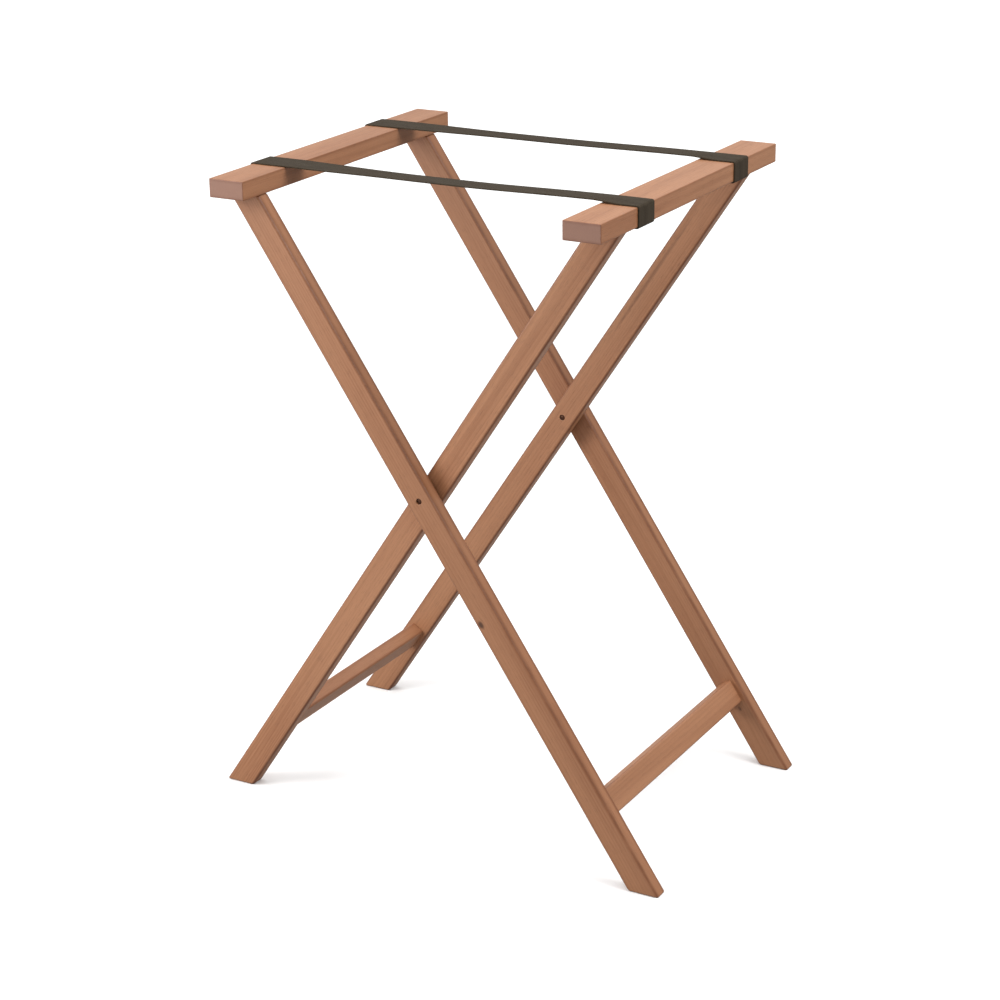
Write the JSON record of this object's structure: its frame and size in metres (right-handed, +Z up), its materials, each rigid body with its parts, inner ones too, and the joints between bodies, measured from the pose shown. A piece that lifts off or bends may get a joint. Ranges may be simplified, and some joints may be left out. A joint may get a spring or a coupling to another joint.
{
  "type": "folding luggage rack",
  "caption": "Folding stand of two crossed wooden frames pivoted where the legs cross, with flat top rails tied by webbing straps that carry a suitcase or a tray.",
  "frame": {"origin": "on the floor, midway between the four feet", "axes": "+Z up; the rails run along Y; the outer frame has its rail on the -X side and its feet on the +X side; front is -Y"},
  "size_m": [0.615, 0.456, 0.7888],
  "materials": {
    "stained_wood": "satin, reddish tan stain, straight fine grain",
    "dowel_wood": "bare, pale",
    "webbing": "plain woven flat webbing, matte, charcoal",
    "rivet_steel": "dark, oiled",
    "tack_steel": "blued",
    "spacer_nylon": "matte black"
  },
  "bodies": {
    "outer_frame": {"outer_top_rail": "stained_wood", "outer_leg_front": "stained_wood", "outer_leg_back": "stained_wood", "outer_stretcher": "stained_wood", "outer_rail_dowels": "dowel_wood", "outer_stretcher_dowels": "dowel_wood", "pivot_rivet_front": "rivet_steel", "pivot_rivet_back": "rivet_steel", "pivot_spacer_front": "spacer_nylon", "pivot_spacer_back": "spacer_nylon", "pivot_burr_front": "rivet_steel", "pivot_burr_back": "rivet_steel", "strap_front_outer_wrap": "webbing", "strap_front_span": "webbing", "strap_back_outer_wrap": "webbing", "strap_back_span": "webbing", "outer_strap_tacks": "tack_steel"},
    "inner_frame": {"inner_top_rail": "stained_wood", "inner_leg_front": "stained_wood", "inner_leg_back": "stained_wood", "inner_stretcher": "stained_wood", "inner_rail_dowels": "dowel_wood", "inner_stretcher_dowels": "dowel_wood", "strap_front_inner_wrap": "webbing", "strap_back_inner_wrap": "webbing", "inner_strap_tacks": "tack_steel"}
  },
  "joints": [
    {"name": "fold", "type": "hinge", "parent": "outer_frame", "child": "inner_frame", "pos_m": [0, 0, 0.43073], "axis": [0, -1, 0], "range_deg": [0, 58], "deforming": ["strap_front_span", "strap_back_span"]}
  ]
}
